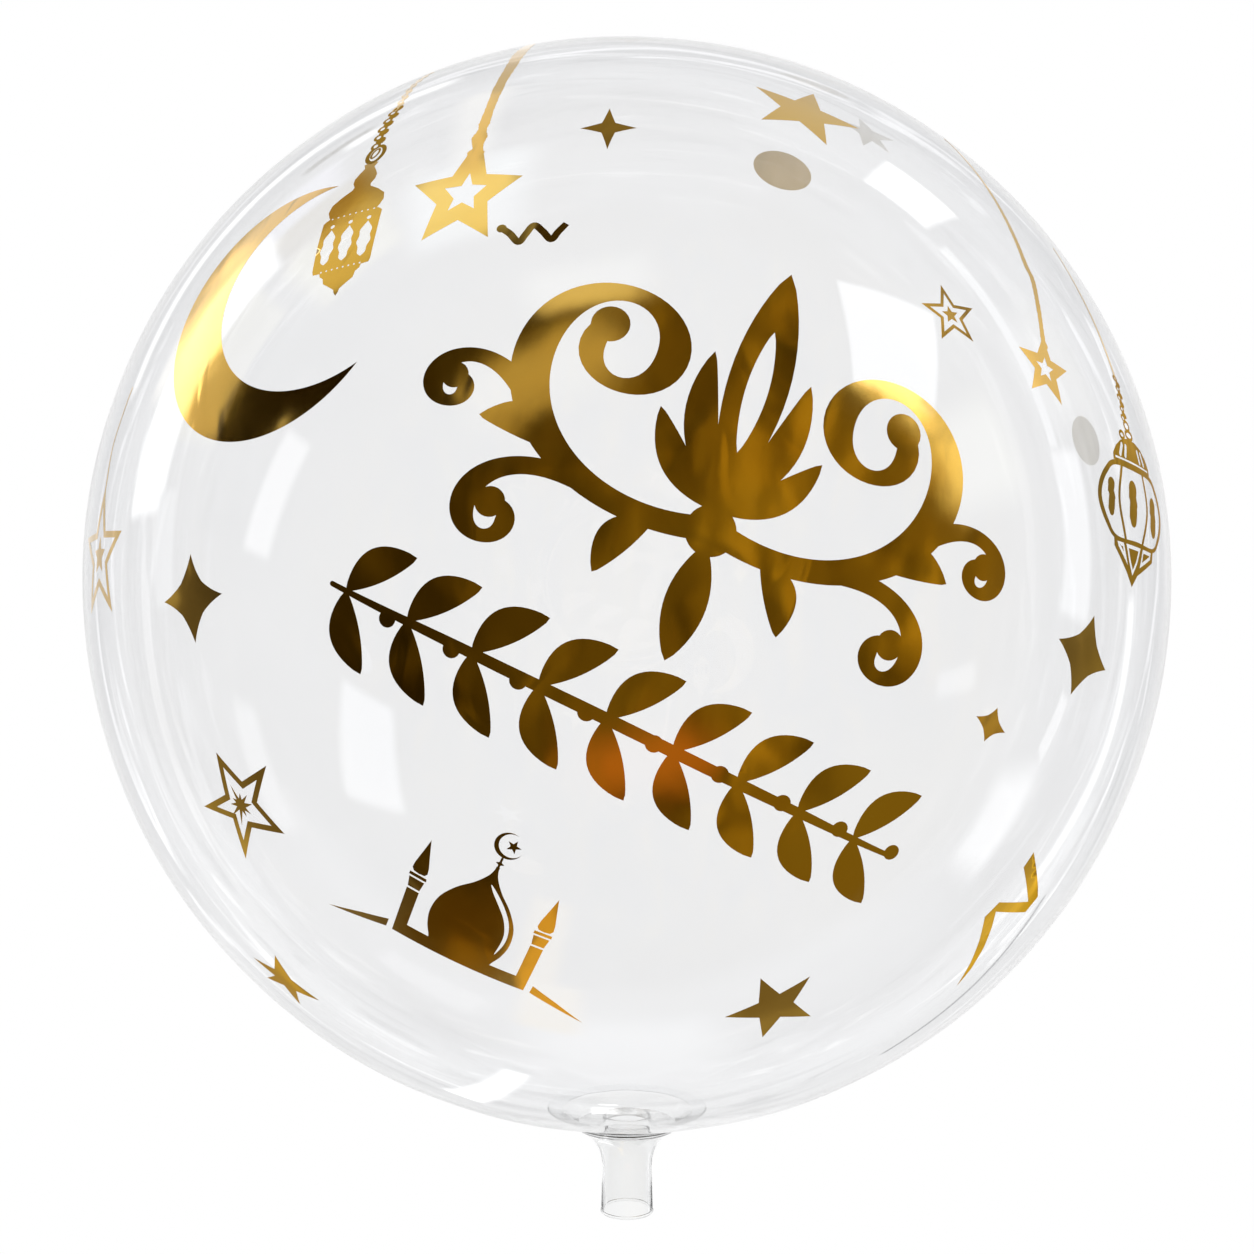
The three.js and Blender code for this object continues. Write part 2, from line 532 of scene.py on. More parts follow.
def wrap(flat, longitude, latitude, turn):
    """Unit directions of flat points laid on the ball round an anchor, without stretching from its middle."""
    lon, lat, roll = (math.radians(v) for v in (longitude, latitude, turn))
    out = np.array([math.cos(lat) * math.sin(lon), math.sin(lat), math.cos(lat) * math.cos(lon)])
    east = np.array([math.cos(lon), 0, -math.sin(lon)])
    north = np.cross(out, east)
    x = flat[:, 0] * math.cos(roll) - flat[:, 1] * math.sin(roll)
    y = flat[:, 0] * math.sin(roll) + flat[:, 1] * math.cos(roll)
    reach = np.maximum(np.hypot(x, y), 1e-9)
    angle = reach / BALL_RADIUS
    sideways = (east * x[:, None] + north * y[:, None]) / reach[:, None]
    return out * np.cos(angle)[:, None] + sideways * np.sin(angle)[:, None]


def make_foil(name, anchor, turn, layers, outside, back):
    """One printed motif: a thin sheet of foil on the film, gold outside and pale on its back."""
    layers = [(subdivided(distinct(np.asarray(loop, float))), adds) for loop, adds in layers]
    flat, triangles = triangulate(layers)
    directions = wrap(flat, *anchor, turn)
    outer = on_film(directions, FOIL_PROUD + FOIL_WALL)
    inner = on_film(directions, FOIL_PROUD)
    count = len(flat)
    sides = np.vstack([triangles[:, [0, 1]], triangles[:, [1, 2]], triangles[:, [2, 0]]])
    known = {tuple(side) for side in sides.tolist()}
    rim = [side for side in known if (side[1], side[0]) not in known]
    faces = [tuple(t) for t in triangles.tolist()]
    faces += [tuple(t) for t in (triangles[:, ::-1] + count).tolist()]
    faces += [(b, a, a + count, b + count) for a, b in rim]
    sides_used = [0] * len(triangles) + [1] * len(triangles) + [0] * len(rim)
    foil = make_piece(name, np.vstack([outer, inner]), faces, [outside, back], sides_used)
    mark_sharp(foil.data, rim + [(a + count, b + count) for a, b in rim])
    let_light_through(foil)
    return foil


# Materials

def new_material(name):
    """An empty node material with its shader."""
    material = bpy.data.materials.new(name)
    material.use_nodes = True
    return material, material.node_tree.nodes, material.node_tree.links


def object_noise(nodes, links, scale, detail, stretch=(1, 1, 1), distortion=0.0):
    """Noise in the part's own metres, drawn out along its axes."""
    place = nodes.new("ShaderNodeTexCoord")
    mapping = nodes.new("ShaderNodeMapping")
    mapping.inputs["Scale"].default_value = stretch
    noise = nodes.new("ShaderNodeTexNoise")
    noise.inputs["Scale"].default_value = scale
    noise.inputs["Detail"].default_value = detail
    noise.inputs["Distortion"].default_value = distortion
    links.new(place.outputs["Object"], mapping.inputs["Vector"])
    links.new(mapping.outputs["Vector"], noise.inputs["Vector"])
    return noise.outputs["Fac"]


def ramp_between(nodes, links, factor, low_place, low_colour, high_place, high_colour):
    """Two colours blended between two places of a factor."""
    ramp = nodes.new("ShaderNodeValToRGB")
    ramp.color_ramp.elements[0].position = low_place
    ramp.color_ramp.elements[0].color = (*low_colour, 1)
    ramp.color_ramp.elements[1].position = high_place
    ramp.color_ramp.elements[1].color = (*high_colour, 1)
    links.new(factor, ramp.inputs["Fac"])
    return ramp.outputs["Color"]


def bump_from(nodes, links, height, distance, normal=None):
    """A bump of a height in metres, on top of another bump if there is one."""
    bump = nodes.new("ShaderNodeBump")
    bump.inputs["Strength"].default_value = 1
    bump.inputs["Distance"].default_value = distance
    links.new(height, bump.inputs["Height"])
    if normal is not None:
        links.new(normal, bump.inputs["Normal"])
    return bump.outputs["Normal"]


def make_clear(name, tint_low, tint_high, roughness, refraction, bump_scale, bump_height):
    """Clear plastic with a breath of unevenness in its tint and its face."""
    material, nodes, links = new_material(name)
    shader = nodes["Principled BSDF"]
    shader.inputs["Transmission Weight"].default_value = 1
    shader.inputs["Roughness"].default_value = roughness
    shader.inputs["IOR"].default_value = refraction
    tint = object_noise(nodes, links, 9, 2)
    links.new(ramp_between(nodes, links, tint, 0.35, tint_low, 0.65, tint_high), shader.inputs["Base Color"])
    uneven = object_noise(nodes, links, bump_scale, 1)
    links.new(bump_from(nodes, links, uneven, bump_height), shader.inputs["Normal"])
    return material


def make_gold(name, low_colour, high_colour, edge_tint, coat):
    """Hot-stamped gold foil: a bright mirror with soft dents, a faint grain, a few folds and a clear coat."""
    material, nodes, links = new_material(name)
    shader = nodes["Principled BSDF"]
    shader.inputs["Metallic"].default_value = 1
    shader.inputs["Specular Tint"].default_value = (*edge_tint, 1)
    shader.inputs["Coat Weight"].default_value = coat
    shader.inputs["Coat Roughness"].default_value = 0.06
    tone = object_noise(nodes, links, 22, 3)
    links.new(ramp_between(nodes, links, tone, 0.3, low_colour, 0.7, high_colour), shader.inputs["Base Color"])
    worn = object_noise(nodes, links, 60, 3)
    spread = nodes.new("ShaderNodeMapRange")
    spread.inputs["To Min"].default_value = 0.09
    spread.inputs["To Max"].default_value = 0.17
    links.new(worn, spread.inputs["Value"])
    links.new(spread.outputs["Result"], shader.inputs["Roughness"])
    dents = object_noise(nodes, links, 24, 1, distortion=0.4)
    grain = object_noise(nodes, links, 120, 1.5, stretch=(1, 0.6, 1))
    uneven = object_noise(nodes, links, 30, 1.5, stretch=(1, 0.5, 1), distortion=0.8)
    folds = nodes.new("ShaderNodeMapRange")
    folds.interpolation_type = "SMOOTHSTEP"
    folds.inputs["From Min"].default_value = 0.58
    folds.inputs["From Max"].default_value = 0.72
    links.new(uneven, folds.inputs["Value"])
    normal = bump_from(nodes, links, dents, 0.0011)
    normal = bump_from(nodes, links, grain, 0.00005, normal)
    normal = bump_from(nodes, links, folds.outputs["Result"], 0.00012, normal)
    links.new(normal, shader.inputs["Normal"])
    return material


def make_foil_back(name, low_colour, high_colour):
    """The foil's back, seen through the film: pale and nearly matt, with faint streaks."""
    material, nodes, links = new_material(name)
    shader = nodes["Principled BSDF"]
    shader.inputs["Metallic"].default_value = 0.25
    shader.inputs["Roughness"].default_value = 0.5
    tone = object_noise(nodes, links, 60, 2, stretch=(1, 0.2, 0.2))
    links.new(ramp_between(nodes, links, tone, 0.35, low_colour, 0.65, high_colour), shader.inputs["Base Color"])
    return material


CLEAR_FILM = make_clear("clear_film_stretched", (0.972, 0.975, 0.982), (0.984, 0.986, 0.991), 0, 1.45, 11, 0.00005)
CLEAR_NECK = make_clear("clear_neck_moulded", (0.986, 0.99, 0.992), (0.996, 0.998, 0.999), 0, 1.46, 60, 0.0002)
GOLD = make_gold("gold_foil_bright", (0.93, 0.56, 0.10), (0.97, 0.63, 0.14), (1, 1, 1), 0.8)
# The mid and deep golds are darker copies of the same gold foil, with a dimmer edge tint and no coat. They are
# painted shade, standing in for the foil mirroring dim parts of the room.
GOLD_PAINTED_HALF_SHADE = make_gold("gold_foil_painted_half_shade", (0.66, 0.40, 0.07), (0.74, 0.47, 0.10), (0.85, 0.62, 0.3), 0)
GOLD_PAINTED_SHADE = make_gold("gold_foil_painted_shade", (0.41, 0.25, 0.05), (0.47, 0.30, 0.07), (0.85, 0.65, 0.4), 0)
BACK_WARM = make_foil_back("foil_back_warm", (0.50, 0.39, 0.23), (0.64, 0.51, 0.32))
BACK_PALE = make_foil_back("foil_back_pale", (0.74, 0.71, 0.65), (0.88, 0.86, 0.80))

make_film(CLEAR_FILM)
make_neck(CLEAR_NECK)


# The print on the front, motif by motif, at longitude and latitude on the ball

def hanging_strap(points, seed, jag):
    """A strap whose edges are finely beaded, from (x, y, width) points."""
    path = smooth(points, 14)
    rng = np.random.default_rng(seed)
    path[:, 2] *= 1 + jag * rng.uniform(-1, 1, len(path))
    return ribbon(path)


def outline_star(centre, reach, notch, tips, width, core):
    """A hollow star with a small solid star in it."""
    outer = star(centre, reach, notch, tips)
    return outlined(outer, width) + [(star(centre, core, core * 0.45, tips), True)]


def crescent_moon():
    """The large crescent: a disc with a smaller disc cut out of it."""
    return [(disc((8.7, 7.1), 57, 120), True), (disc((27.5, 17.6), 48.5, 110), False)]


def hanging_star_left():
    """A broad star with a star-shaped hole, hung from a knotted strap."""
    strap = hanging_strap(
        [(-1.4, 22.6, 6.6), (-1.8, 25.8, 6.8), (-1.7, 28, 4.4), (-2.4, 31.5, 4.8), (-2.9, 35.6, 6.4),
         (-3.1, 39.6, 3.8), (-3.5, 44.9, 4.4), (-4.3, 54.1, 4), (-5.2, 64, 4.1), (-6.7, 79.2, 4.5),
         (-8.3, 97.3, 5.2), (-11.2, 116.1, 5.6), (-14.3, 135, 5.2), (-17.8, 152, 4)],
        seed=3, jag=0.12,
    )
    body = np.array([(-7.9, 12.2), (-22.8, 9.6), (-10.8, -2.5), (-12.9, -20), (-0.3, -11.3), (13.2, -20.1),
                     (9.4, -2.4), (20.2, 10.9), (5.8, 12.3), (1.9, 24), (-4.7, 24.6)])
    hole = np.array([(-1.1, 13.4), (1.4, 6.8), (7.2, 6.1), (3.4, 0.4), (4.8, -5.8), (-0.6, -2.4), (-5.4, -6.2),
                     (-4.4, -0.2), (-9.3, 5.8), (-2.8, 6.4)])
    return [(body, True), (strap, True), (hole, False)]


def chain(points, pitch, half_width, half_length):
    """Chain links along a line: open ovals and solid beads in turn."""
    path = smooth(points, 24)
    steps = np.linalg.norm(np.diff(path, axis=0), axis=1)
    run = np.concatenate([[0], np.cumsum(steps)])
    layers = [(ribbon(path, half_width * 0.8), True)]
    for index, place in enumerate(np.arange(0, run[-1], pitch)):
        x = np.interp(place, run, path[:, 0])
        y = np.interp(place, run, path[:, 1])
        ahead = min(place + pitch / 2, run[-1])
        lean = math.degrees(math.atan2(
            np.interp(ahead, run, path[:, 1]) - y, np.interp(ahead, run, path[:, 0]) - x)) - 90
        sideways = half_width * (0.35 if index % 2 else -0.35)
        centre = (x + sideways * math.cos(math.radians(lean)), y + sideways * math.sin(math.radians(lean)))
        layers.append((ellipse(centre, half_width, half_length, 18, lean), True))
        if index % 2 == 0:
            layers.append((ellipse(centre, half_width * 0.45, half_length * 0.5, 12, lean), False))
    return layers


def lantern_window(x):
    """A tall window with scalloped sides and a round eye above it."""
    t = np.linspace(0, 1, 25)
    body = 2.7 * np.sin(math.pi * np.clip(t * 1.06 - 0.03, 0, 1)) ** 0.45
    half = body + 0.35 * np.sin(t * math.pi * 6)
    right = np.stack([x + half, -8.7 + t * 17.6], -1)
    left = np.stack([x - half, -8.7 + t * 17.6], -1)[::-1]
    return [(np.vstack([right, left]), False), (disc((x, 10.6), 0.95, 12), False)]


def solid_lantern():
    """A lantern with a domed roof, three windows, dotted bands, a bowl below and a chain above."""
    axis = -1.8
    body = [(0, -24.9), (1.0, -23.4), (1.3, -22.0), (3.6, -20.2), (6.6, -18.0), (7.2, -15.4), (8.8, -14.2), (9.2, -12.6),
            (12.3, -12.3), (12.9, -10.6), (13.2, 2), (13.2, 13.4), (12.2, 14.4), (10.6, 15.3), (11.4, 16.6),
            (12.5, 19.6), (11.8, 23.2), (8.2, 26.6), (4.2, 29.4), (3.7, 31), (5, 33.6), (5.1, 36.4), (3.6, 39.6),
            (2.2, 42), (3.2, 44.6), (0, 46.5)]
    layers = [(mirrored(body, axis), True)]
    for x in (-8.2, 0, 8.2):
        layers += lantern_window(axis + x)
    for level, reach in ((15.0, 9.4), (-12.0, 8.6)):
        for x in np.linspace(-reach, reach, 8):
            layers.append((disc((axis + x, level), 0.42, 8), False))
    return layers


def lantern_ring():
    """The ring at the lantern's top with a link in it, and the chain above."""
    ring = outlined(ellipse((-1.8, 51), 4.6, 6.6, 28), 1.9)
    link = outlined(ellipse((-2.2, 51.6), 2, 3.6, 18, -12), 1)
    return ring + link + chain([(-3.2, 57.5), (-4.4, 66), (-5, 73), (-5, 80), (-5.6, 90)], 3.5, 2.3, 2.7)


def squiggle():
    """A short wave with a ball at one end."""
    line = stroke([(-12.2, 2.8, 2.8), (-9, 0.2, 2.8), (-5.4, -3.9, 2.8), (-3.2, -0.6, 2.8), (-0.5, 3.7, 2.8),
                   (3.0, 0.8, 2.8), (6.5, -3.1, 2.8), (8.8, 0.4, 2.8), (11.4, 4.2, 2.6)], round_end=False)
    return [(line, True), (disc((-12.4, 2.9), 1.9, 16), True)]


def zigzag():
    """A folded ribbon of three straight runs, tapering to a point."""
    outline = np.array([(-4.5, 23.5), (-1.8, 30), (14.8, 11.4), (19.6, 5.6), (15.6, -1.3), (-8.9, 3.1), (-5.4, -5.1),
                        (-1.9, -16.3), (-0.3, -28.5), (-1.2, -38), (-4.3, -23.9), (-8.5, -12), (-14.6, 1.2),
                        (-10, 7.8), (12.9, 4.5)])
    return [(outline, True)]


def mosque():
    """A skyline: an onion dome with its crescent between two minarets, on a ground line with two wings."""
    dome_axis = -1.0
    dome_side = smooth([(12.2, 4), (12.9, 6.3), (14.8, 11), (15.9, 17.8), (14.7, 25.7), (10.6, 33), (5.4, 38.8),
                        (2, 43.8), (0.8, 47.2), (0.7, 49)], 5)
    base = np.array([(-26.8, -1.5), (26.8, -1.6), (26.6, 4.6), (-26.6, 4.5)])
    layers = [(base, True), (mirrored(dome_side, dome_axis), True)]
    slit = smooth([(-0.6, 40.8), (2.6, 38.4), (7.3, 33.5), (10.9, 28), (12.6, 22.6), (12.8, 17), (11.2, 10.6),
                   (11.6, 17.3), (11.1, 22.7), (8.7, 28.5), (4.9, 33.5), (1.4, 37.6)], 5, closed=True)
    layers.append((slit, False))
    layers.append((star((dome_axis, 50.6), 1.7, 0.8, even_tips(0, 4)), True))
    layers.append((ribbon(np.array([(dome_axis, 47), (dome_axis, 53)]), 0.9), True))
    layers.append((disc((-0.7, 58.9), 5.5, 48), True))
    layers.append((disc((0.2, 59.4), 4.8, 44), False))
    layers.append((star((0.9, 59.4), 2.9, 1.2, even_tips(80)), True))
    for side, lean in ((-1, -0.05), (1, -0.014)):
        layers += minaret(side * 24.4, lean)
        wing = np.array([(29.2, -1.6), (29.3, 2.5), (40, -2.4), (52.5, -9.1)]) * [side, 1]
        layers.append((wing, True))
    return layers


def minaret(x, lean):
    """A tower with a banded gallery and a pointed spire, leaning by a share of its height."""
    shaft = np.array([(-2.4, 0), (2.4, 0), (2.5, 21.8), (-2.5, 21.8)])
    gallery = np.array([(-2.4, 22.7), (2.4, 22.7), (3.1, 27.2), (-3.1, 27.2)])
    band = np.array([(-3.5, 28), (3.5, 28), (3.4, 29.4), (-3.4, 29.4)])
    spire = mirrored([(0, 30), (2.2, 30.3), (3.1, 31.6), (2.8, 34.4), (1.3, 40.6), (0, 46.2)])
    return [(loop @ [[1, 0], [lean, 1]] + [x, 0], True) for loop in (shaft, gallery, band, spire)]


def outline_lantern():
    """A barrel lantern drawn in line, with ribs, three slots, a slatted cap and a pointed foot."""
    axis = 5.5
    side = smooth([(-0.5, -14.6, 1.5), (20, -14.6, 1.7), (28.4, -9.4, 2.4), (34, -1.6, 2.9), (33.6, 5, 2.9),
                   (28.4, 11.6, 2.6), (20, 16.2, 2.2), (-0.5, 16.6, 2)], 8)
    layers = [(ribbon(side * [turn, 1, 1] + [axis, 0, 0]), True) for turn in (-1, 1)]
    for points in (((-13.4, 16.6), (-17.8, 1), (-11.6, -15)), ((9.6, 16.8), (13, 1), (5.8, -15))):
        rib = smooth([(axis + x, y, 1.9) for x, y in points], 10)
        layers.append((ribbon(rib), True))
    for x, y, half, width in ((-24.7, 0.9, 5.4, 5), (-3.8, 0.9, 6, 7.6), (21.4, -1, 5, 7.4)):
        t = np.linspace(-1, 1, 17)
        wavy = np.stack([axis + x + 0.4 * np.sin(t * 9), y + t * half, width + 0.9 * np.sin(t * 14)], -1)
        layers.append((ribbon(wavy), True))
    cap = mirrored([(0, 17.4), (20.8, 17.4), (20.6, 20.2), (17, 24), (11.4, 27.2), (5, 28.8), (0, 29)], axis)
    layers.append((cap, True))
    layers.append((ribbon(np.array([(axis - 18.5, 18.9), (axis + 18.5, 18.9)]), 0.9), False))
    for x in (-13.6, -8.4, 8.4, 13.6):
        layers.append((ribbon(np.array([(axis + x, 20.8), (axis + x * 0.8, 25.2)]), 2.2), False))
    foot = np.array([(-22.6, -14.2), (20.4, -14.2), (19.6, -19.8), (2, -27.4), (-3, -32.4), (-9, -27.4), (-22, -18)])
    layers.append((foot + [axis, 0], True))
    for corners in (
        ((-19.6, -15.9), (-13.6, -15.9), (-8.6, -24.4), (-18.4, -17.8)),
        ((-11.2, -15.9), (4.2, -15.9), (1, -22.6), (-3.4, -28), (-7.6, -22.6)),
        ((6.8, -15.9), (17.6, -15.9), (16.8, -18.8), (4, -24)),
    ):
        layers += panel([(axis + x, y) for x, y in corners])
    layers += outlined(ellipse((axis - 9, 29.8), 3, 2.2, 22), 1.3)
    layers += outlined(ellipse((axis - 0.8, 31), 4.4, 2.6, 22), 1.4)
    layers += outlined(ellipse((axis - 1.6, 35), 3.4, 2.6, 20), 1.2)
    return leaning(layers, 0.107)


def leaning(layers, lean):
    """The layers leaning to the right by a share of their height."""
    return [(np.asarray(loop, float) @ [[1, 0], [lean, 1]], adds) for loop, adds in layers]


def panel(corners):
    """A pane cut out of the foil with a smaller pane of foil left in it."""
    pane = np.array(corners, float)
    return [(pane, False), (inset(pane, 1.5), True)]


def hanging_star_right():
    """A small holed star on a long narrow string."""
    string = hanging_strap(
        [(6.4, 11, 3.4), (7.1, 15, 2.6), (13.1, 30.3, 2.7), (18.1, 42.9, 3.1), (18.6, 49.8, 3.0), (22.5, 63.7, 2.6),
         (27.3, 80.5, 2.3), (33.3, 101.4, 1.9), (38.8, 120.2, 1.5), (45.1, 136.7, 1.2)],
        seed=5, jag=0.12,
    )
    tips = [69, 147, 216, 288, 362]
    return [(star((1.5, 0.6), 15.2, 6.8, tips), True), (string, True), (star((1.5, 0.6), 5.4, 2.4, tips), False)]


def limb_star():
    """A hollow star on a string at the left edge, with a small star in it."""
    layers = outline_star((-4.9, 1.5), 28.7, 12.2, even_tips(92), 2.7, 8)
    layers.append((stroke([(-6, 28, 1.3), (-5.9, 32.8, 1.3), (-7.5, 47.1, 1.2), (-5, 58.8, 1.1), (-2.4, 72, 1.0)]), True))
    return layers


def burst_star():
    """A hollow star with a ten-pointed burst in it."""
    centre = (-1.9, -0.3)
    outer = np.array([(-8.9, 20.3), (-9.7, 3.2), (-26.1, -3.6), (-9.1, -6.6), (-9.9, -24.2), (0.5, -9.5),
                      (17.5, -10.9), (7.7, 1.4), (17.6, 16.6), (2.3, 9.5)])
    burst = []
    for index, reach in enumerate((6.6, 6.8, 5, 8.6, 4.4, 6, 8.3, 9.4, 5, 5.6)):
        burst.append(polar(centre, reach, 6 + index * 35))
        burst.append(polar(centre, 2.6, 23 + index * 35))
    return outlined(outer, 2.5) + [(np.array(burst), True)]


# The two rows of flourishes across the middle, ornament alone

def leaf(base, tip, width, bend=0.0):
    """A pointed leaf from base to tip, bent to one side."""
    a, b = np.array(base, float), np.array(tip, float)
    along = b - a
    side = np.array([-along[1], along[0]]) / np.linalg.norm(along)
    t = np.linspace(0, 1, 17)[:, None]
    spine = a + along * t + side * bend * 4 * t * (1 - t)
    half = width / 2 * np.sin(math.pi * t) ** 0.75
    return np.vstack([spine + side * half, (spine - side * half)[1:-1][::-1]])


def winding_line(start, heading, length, curl, last_curl):
    """Points and headings along a line that winds ever tighter, its curl in radians a millimetre."""
    t = np.linspace(0, 1, 96)
    step = length / (len(t) - 1)
    headings = math.radians(heading) + np.cumsum(curl + (last_curl - curl) * t ** 2) * step
    x = start[0] + np.cumsum(np.cos(headings)) * step
    y = start[1] + np.cumsum(np.sin(headings)) * step
    return np.stack([x, y], -1), np.degrees(headings)


def at(line, share):
    """The point and the heading at a share of a winding line's length."""
    points, headings = line
    index = round(share * (len(points) - 1))
    return points[index], headings[index]


def scroll(line, thin, thick, bead):
    """A pen stroke along a winding line, broad where it runs upright, with a bead at its end."""
    points, headings = line
    t = np.linspace(0, 1, len(points))
    width = (thin + (thick - thin) * np.sin(np.radians(headings)) ** 2) * (1 - 0.45 * t ** 2)
    return [(ribbon(np.column_stack([points, width])), True), (disc(points[-1], bead, 24), True)]


def leaf_on(line, share, reach, aside, width, bend):
    """A leaf that grows from a winding line, turned aside from its heading."""
    base, heading = at(line, share)
    return (leaf(base, polar(base, reach, heading + aside), width, bend), True)


def on_both_sides(layers):
    """The layers with their mirror images across the upright axis."""
    return layers + [(loop * [-1, 1], adds) for loop, adds in layers]


def large_flourish():
    """An arabesque: a pointed palmette between two broad scrolls, with lesser scrolls, leaves and a drop."""
    bowl = winding_line((3, -31), -16, 228, 0.0135, 0.088)
    low = winding_line(*at(bowl, 0.16), 90, -0.012, -0.2)
    high = winding_line(*at(bowl, 0.32), 80, -0.016, -0.24)
    side = scroll(bowl, 8, 16, 7) + scroll(low, 6.5, 11, 5.5) + scroll(high, 6, 10, 5)
    side.append(leaf_on(bowl, 0.06, 28, -56, 12, 4))
    side.append(leaf_on(bowl, 0.25, 30, -26, 13, 5))
    side.append((leaf((2, -22), (18, 31), 12, -5), True))
    side.append((leaf((2, -24), (30, 5), 11, -4), True))
    layers = on_both_sides(side)
    layers.append((leaf((0, -22), (0, 72), 22), True))
    layers.append((leaf((0, -2), (0, 46), 8), False))
    layers.append((ellipse((0, -21), 5.5, 8.8, 28), True))
    layers.append((disc((0, -31), 9, 36), True))
    layers.append((leaf((0, -36), (0, -78), 15), True))
    return layers


def small_flourish():
    """A garland: a bowed stem with pairs of leaves and a bead between each pair."""
    half_length = 116
    pairs = 9
    layers = [(stroke([(-half_length, -2, 2), (-60, 3, 4), (0, 5, 4.6), (60, 3, 4), (half_length, -2, 2)], 14), True)]
    for index in range(pairs):
        x = -half_length + 6 + index * (2 * half_length - 26) / (pairs - 1)
        y = 5 - 7 * (x / half_length) ** 2
        layers.append((leaf((x, y), (x + 19, y + 24), 12.5, 3.5), True))
        layers.append((leaf((x, y), (x + 19, y - 24), 12.5, -3.5), True))
        layers.append((disc((x + 19, y - 0.6), 3.2, 18), True))
    return layers


DIAMOND_LEFT = sparkle((0, 0), [(18.1, 6), (16.6, 92), (18.1, 185), (16.6, 274)], 0.52, 0.8)
DIAMOND_RIGHT = sparkle((0, 0), [(18.8, -20), (16, 71), (18.8, 159), (16, 249)], 0.6, 0.8)
DIAMOND_SMALL = sparkle((0, 0), [(8.6, -24), (6.6, 72), (8.6, 156), (6.6, 252)], 0.6, 0.8)
SPARKLE_TOP = sparkle((0, 0), [(10.7, 0), (13.8, 90), (10.7, 180), (13.8, 270)], 0.42, 0.2)
THIN_CHAIN = chain([(-5.6, 89), (-6.4, 97), (-7.8, 105.5), (-9.8, 117), (-11.2, 131.5), (-12.4, 142)], 4, 1.6, 2.6)
OUTLINE_CHAIN = chain([(6.6, 37.9), (8, 42.2), (8.1, 46.1), (10, 51.6), (10.2, 57)], 2.4, 2.4, 1.5)
OUTLINE_STRING = stroke([(10.2, 56, 2.2), (10, 64, 2.1), (10.1, 79.7, 2), (9.8, 102.4, 1.8), (11.2, 122, 1.6)])

# The print on the front, motif by motif: its place by longitude and latitude on the ball, its turn, its
# layers and its foil, where the darker copies of the gold are painted shade
FRONT_PRINT = [
    ("crescent_moon", (-38.4, 23.3), 0, crescent_moon(), GOLD),
    ("hanging_star_left", (-16.9, 34.5), 0, hanging_star_left(), GOLD),
    ("lantern_solid", (-28.8, 30.5), 9.4, solid_lantern(), GOLD),
    ("lantern_solid_ring", (-28.8, 30.5), 9.4, lantern_ring(), GOLD_PAINTED_SHADE),
    ("lantern_solid_chain", (-28.8, 30.5), 9.4, THIN_CHAIN, GOLD),
    ("squiggle", (-8.9, 30.1), 0, squiggle(), GOLD_PAINTED_SHADE),
    ("sparkle_top", (-2.2, 43.2), 0, [(SPARKLE_TOP, True)], GOLD_PAINTED_HALF_SHADE),
    ("star_top_right", (24.4, 47.1), 0, [(star((0, 2.2), 23.6, 9.6, [56, 124, 201, 271, 344]), True)], GOLD),
    ("outline_star_right", (31.4, 23.2), 0, outline_star((0, 0), 13.1, 5.6, even_tips(90), 1.4, 3.9), GOLD),
    ("hanging_star_right", (42.2, 18.8), 0, hanging_star_right(), GOLD),
    ("lantern_outline", (54, 6.8), -7, outline_lantern(), GOLD_PAINTED_SHADE),
    ("lantern_outline_chain", (54, 6.8), -7, OUTLINE_CHAIN, GOLD_PAINTED_SHADE),
    ("lantern_outline_string", (54, 6.8), -7, [(OUTLINE_STRING, True)], GOLD),
    ("outline_star_left", (-58.6, 2), 0, limb_star(), GOLD),
    ("diamond_left", (-40.6, -1.5), 0, [(DIAMOND_LEFT, True)], GOLD_PAINTED_SHADE),
    ("diamond_right", (44.4, -6.5), 0, [(DIAMOND_RIGHT, True)], GOLD_PAINTED_SHADE),
    ("diamond_small", (32.9, -12.1), 0, [(DIAMOND_SMALL, True)], GOLD),
    ("burst_star", (-37.6, -19.6), 0, burst_star(), GOLD_PAINTED_HALF_SHADE),
    ("star_bottom", (16.4, -39.4), 0, [(star((0.8, -1), 19, 7.5, [56, 119, 195, 270, 334]), True)], GOLD_PAINTED_HALF_SHADE),
    ("star_lower_left", (-47.1, -40), 0, [(star((2.3, -1), 17.5, 6.4, [64, 147, 190, 250, 329]), True)], GOLD_PAINTED_SHADE),
    ("zigzag_ribbon", (44.6, -31.8), 0, zigzag(), GOLD_PAINTED_HALF_SHADE),
    ("mosque", (-17.48, -33.85), -30.5, mosque(), GOLD),
    ("flourish_large", (9, 10.6), -20, large_flourish(), GOLD),
    ("flourish_small", (-0.8, -12.6), -27, small_flourish(), GOLD),
]

# The print on the back, which shows pale through the film
BACK_PRINT = [
    ("star_back", (99.4, 61.3), 0, [(star((0, 0), 15.8, 6.3, [81, 143, 224, 292, 350]), True)], BACK_PALE),
    ("dot_back_top", (137.8, 60.6), 0, [(disc((0, 0), 16), True)], BACK_WARM),
    ("dot_back_right", (102.7, 16.6), 0, [(disc((0, 0), 13), True)], BACK_PALE),
    ("star_crown", (1.8, 78), 0, [(star((0, 0), 17, 6.8, even_tips(90)), True)], BACK_WARM),
]

for name, anchor, turn, layers, outside in FRONT_PRINT:
    make_foil("foil_" + name, anchor, turn, layers, outside, BACK_WARM)
for name, anchor, turn, layers, back in BACK_PRINT:
    make_foil("foil_" + name, anchor, turn, layers, GOLD, back)


# Floor, light and camera

def calculate(nodes, links, operation, *values):
    """A sum on sockets and plain numbers."""
    node = nodes.new("ShaderNodeMath")
    node.operation = operation
    for socket, value in zip(node.inputs, values):
        if isinstance(value, (int, float)):
            socket.default_value = value
        else:
            links.new(value, socket)
    return node.outputs["Value"]


